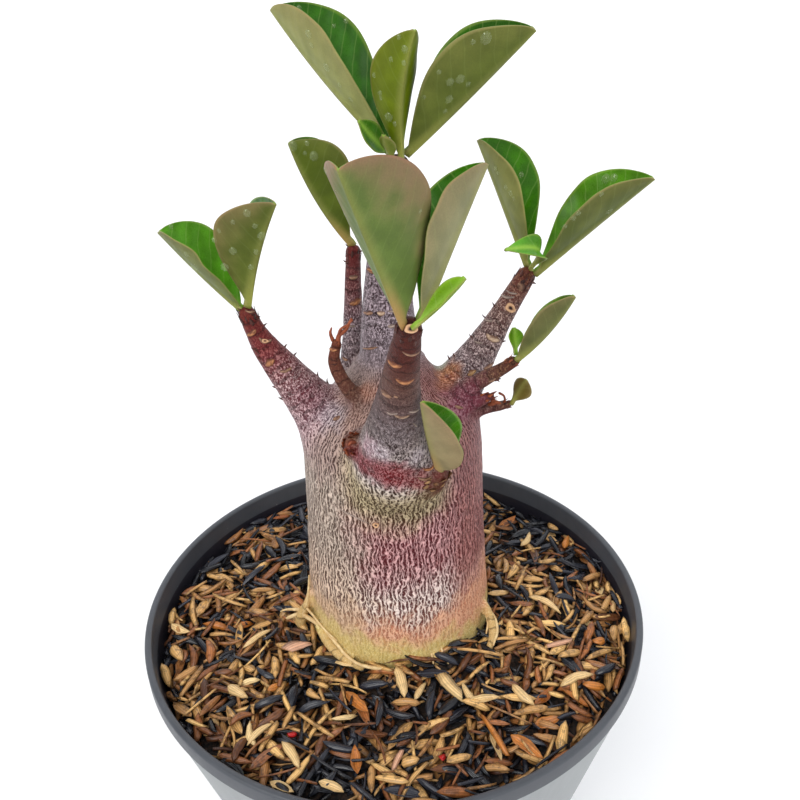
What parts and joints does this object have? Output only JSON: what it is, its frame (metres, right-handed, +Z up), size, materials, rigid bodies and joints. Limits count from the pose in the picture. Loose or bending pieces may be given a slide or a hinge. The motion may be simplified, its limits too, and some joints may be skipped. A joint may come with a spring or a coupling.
{
  "type": "potted desert rose",
  "caption": "Potted desert rose: a swollen grey and wine-red stem with thin leafy branches, in a round tapered plastic pot filled with husks.",
  "frame": {"origin": "centre of the pot's foot ring, in the plane that the pot stands on", "axes": "+Z up along the pot's axis, +X to the right and -Y towards the viewer of the picture"},
  "size_m": [0.15, 0.15, 0.2766],
  "materials": {
    "pot": "satin slate grey moulded plastic",
    "husks": "moist charred, brown and straw-coloured husks and slivers",
    "bark": "grey and wine-red bark under a fine pale net",
    "leaf": "glossy green above, matt grey-olive below"
  },
  "bodies": {
    "root": {"pot": "pot", "husk_bed": "husks", "plant_body": "bark", "leaf_top_left": "leaf", "leaf_top_front": "leaf", "leaf_top_right": "leaf", "leaf_top_small": "leaf", "leaf_top_bud": "leaf", "leaf_back": "leaf", "leaf_front_large": "leaf", "leaf_front_right": "leaf", "leaf_front_small": "leaf", "leaf_left_outer": "leaf", "leaf_left_inner": "leaf", "leaf_right_upper": "leaf", "leaf_right_outer": "leaf", "leaf_right_curled": "leaf", "leaf_low": "leaf", "leaf_low_small": "leaf", "leaf_twig": "leaf", "leaf_bud": "leaf"}
  },
  "joints": []
}
